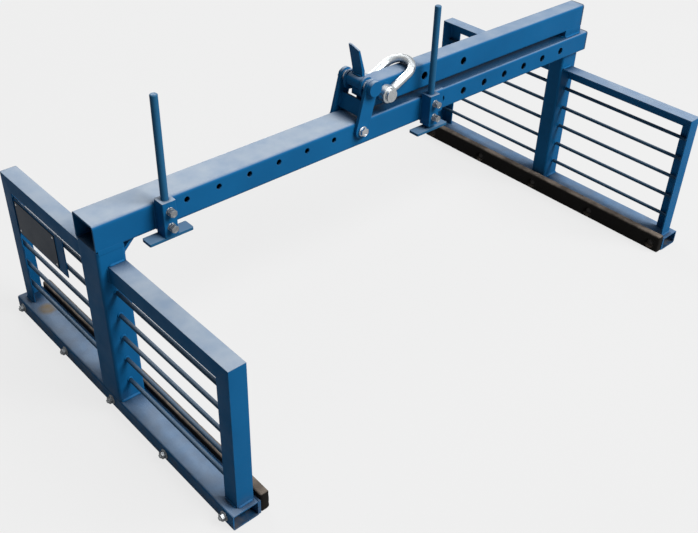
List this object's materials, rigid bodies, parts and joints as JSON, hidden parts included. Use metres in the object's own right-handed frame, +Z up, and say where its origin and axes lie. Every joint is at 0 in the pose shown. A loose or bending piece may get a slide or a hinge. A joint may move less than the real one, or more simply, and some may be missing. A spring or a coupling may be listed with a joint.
{
  "type": "lifting tongs",
  "caption": "Self-tightening lifting tongs: two rubber-padded jaws with guard frames on a telescoping beam, hung from a draw bar by a bow, with swing links and two depth stops.",
  "frame": {"origin": "on the floor under the middle of the whole tool's box", "axes": "+X along the beam from the left jaw to the right jaw, +Y away from the depth stops, +Z up"},
  "size_m": [1.9866, 1.14, 0.9255],
  "materials": {
    "blue_paint": "semi-gloss paint",
    "galvanised": "dull zinc",
    "pad_rubber": "matt",
    "sign_enamel": "satin",
    "bush_bronze": "turned"
  },
  "bodies": {
    "left_arm": {"carrier_tube": "blue_paint", "left_post": "blue_paint", "left_knee_plate": "blue_paint", "left_base_rail": "blue_paint", "left_pad_backing": "blue_paint", "left_grip_pad": "pad_rubber", "left_pad_bolts": "galvanised", "left_pad_nuts": "galvanised", "left_top_rail_front": "blue_paint", "left_top_rail_back": "blue_paint", "left_end_post_front": "blue_paint", "left_end_post_back": "blue_paint", "left_guard_rods": "blue_paint", "sign_backing": "blue_paint", "sign_plate": "sign_enamel", "left_stop_sleeve": "blue_paint", "right_stop_sleeve": "blue_paint", "left_clamp_nuts": "galvanised", "right_clamp_nuts": "galvanised", "fulcrum_bolt": "galvanised", "fulcrum_nut": "galvanised", "fulcrum_washers": "galvanised"},
    "right_arm": {"inner_tube": "blue_paint", "draw_bar": "blue_paint", "draw_bar_block": "blue_paint", "draw_bar_lug_front": "blue_paint", "draw_bar_lug_rear": "blue_paint", "right_post": "blue_paint", "right_base_rail": "blue_paint", "right_pad_backing": "blue_paint", "right_grip_pad": "pad_rubber", "right_pad_bolts": "galvanised", "right_pad_nuts": "galvanised", "right_top_rail_front": "blue_paint", "right_top_rail_back": "blue_paint", "right_end_post_front": "blue_paint", "right_end_post_back": "blue_paint", "right_guard_rods": "blue_paint"},
    "swing_links": {"link_front": "blue_paint", "link_rear": "blue_paint", "link_web": "blue_paint", "head_pin": "blue_paint", "head_pin_split_pin": "galvanised", "head_spacers": "galvanised"},
    "latch": {"latch_lever": "blue_paint", "latch_bush": "bush_bronze"},
    "bow": {"lifting_bow": "galvanised", "bow_pin": "galvanised", "bow_pin_split_pin": "galvanised"},
    "left_stop": {"left_stop_rod": "blue_paint", "left_stop_foot": "blue_paint"},
    "left_screw_upper": {"left_clamp_screw_upper": "galvanised"},
    "left_screw_lower": {"left_clamp_screw_lower": "galvanised"},
    "right_stop": {"right_stop_rod": "blue_paint", "right_stop_foot": "blue_paint"},
    "right_screw_upper": {"right_clamp_screw_upper": "galvanised"},
    "right_screw_lower": {"right_clamp_screw_lower": "galvanised"}
  },
  "joints": [
    {"name": "arm_slide", "type": "slide", "parent": "left_arm", "child": "right_arm", "axis": [1, 0, 0], "range_m": [0, 0.03]},
    {"name": "links_swing", "type": "hinge", "parent": "left_arm", "child": "swing_links", "pos_m": [-0.10875, 0, 0.6], "axis": [0, 1, 0], "range_deg": [0, 14.2]},
    {"name": "latch_swing", "type": "hinge", "parent": "swing_links", "child": "latch", "pos_m": [-0.07573, 0, 0.72677], "axis": [0, 1, 0], "range_deg": [0, 18]},
    {"name": "bow_swing", "type": "hinge", "parent": "right_arm", "child": "bow", "pos_m": [-0.00261, 0, 0.682], "axis": [0, -1, 0], "range_deg": [0, 67]},
    {"name": "left_stop_slide", "type": "slide", "parent": "left_arm", "child": "left_stop", "axis": [0, 0, 1], "range_m": [-0.25, 0]},
    {"name": "left_screw_lower_turn", "type": "hinge", "parent": "left_arm", "child": "left_screw_lower", "pos_m": [-0.78475, -0.095, 0.569], "axis": [0, -1, 0], "range_deg": [0, 360]},
    {"name": "left_screw_upper_turn", "type": "hinge", "parent": "left_arm", "child": "left_screw_upper", "pos_m": [-0.78475, -0.095, 0.615], "axis": [0, -1, 0], "range_deg": [0, 360]},
    {"name": "right_stop_slide", "type": "slide", "parent": "left_arm", "child": "right_stop", "axis": [0, 0, 1], "range_m": [-0.24, 0.01]},
    {"name": "right_screw_lower_turn", "type": "hinge", "parent": "left_arm", "child": "right_screw_lower", "pos_m": [0.16325, -0.095, 0.569], "axis": [0, -1, 0], "range_deg": [0, 360]},
    {"name": "right_screw_upper_turn", "type": "hinge", "parent": "left_arm", "child": "right_screw_upper", "pos_m": [0.16325, -0.095, 0.615], "axis": [0, -1, 0], "range_deg": [0, 360]}
  ],
  "couplings": [
    {"joint": "links_swing", "follows": "arm_slide", "rad_per_m": 8.2355}
  ]
}
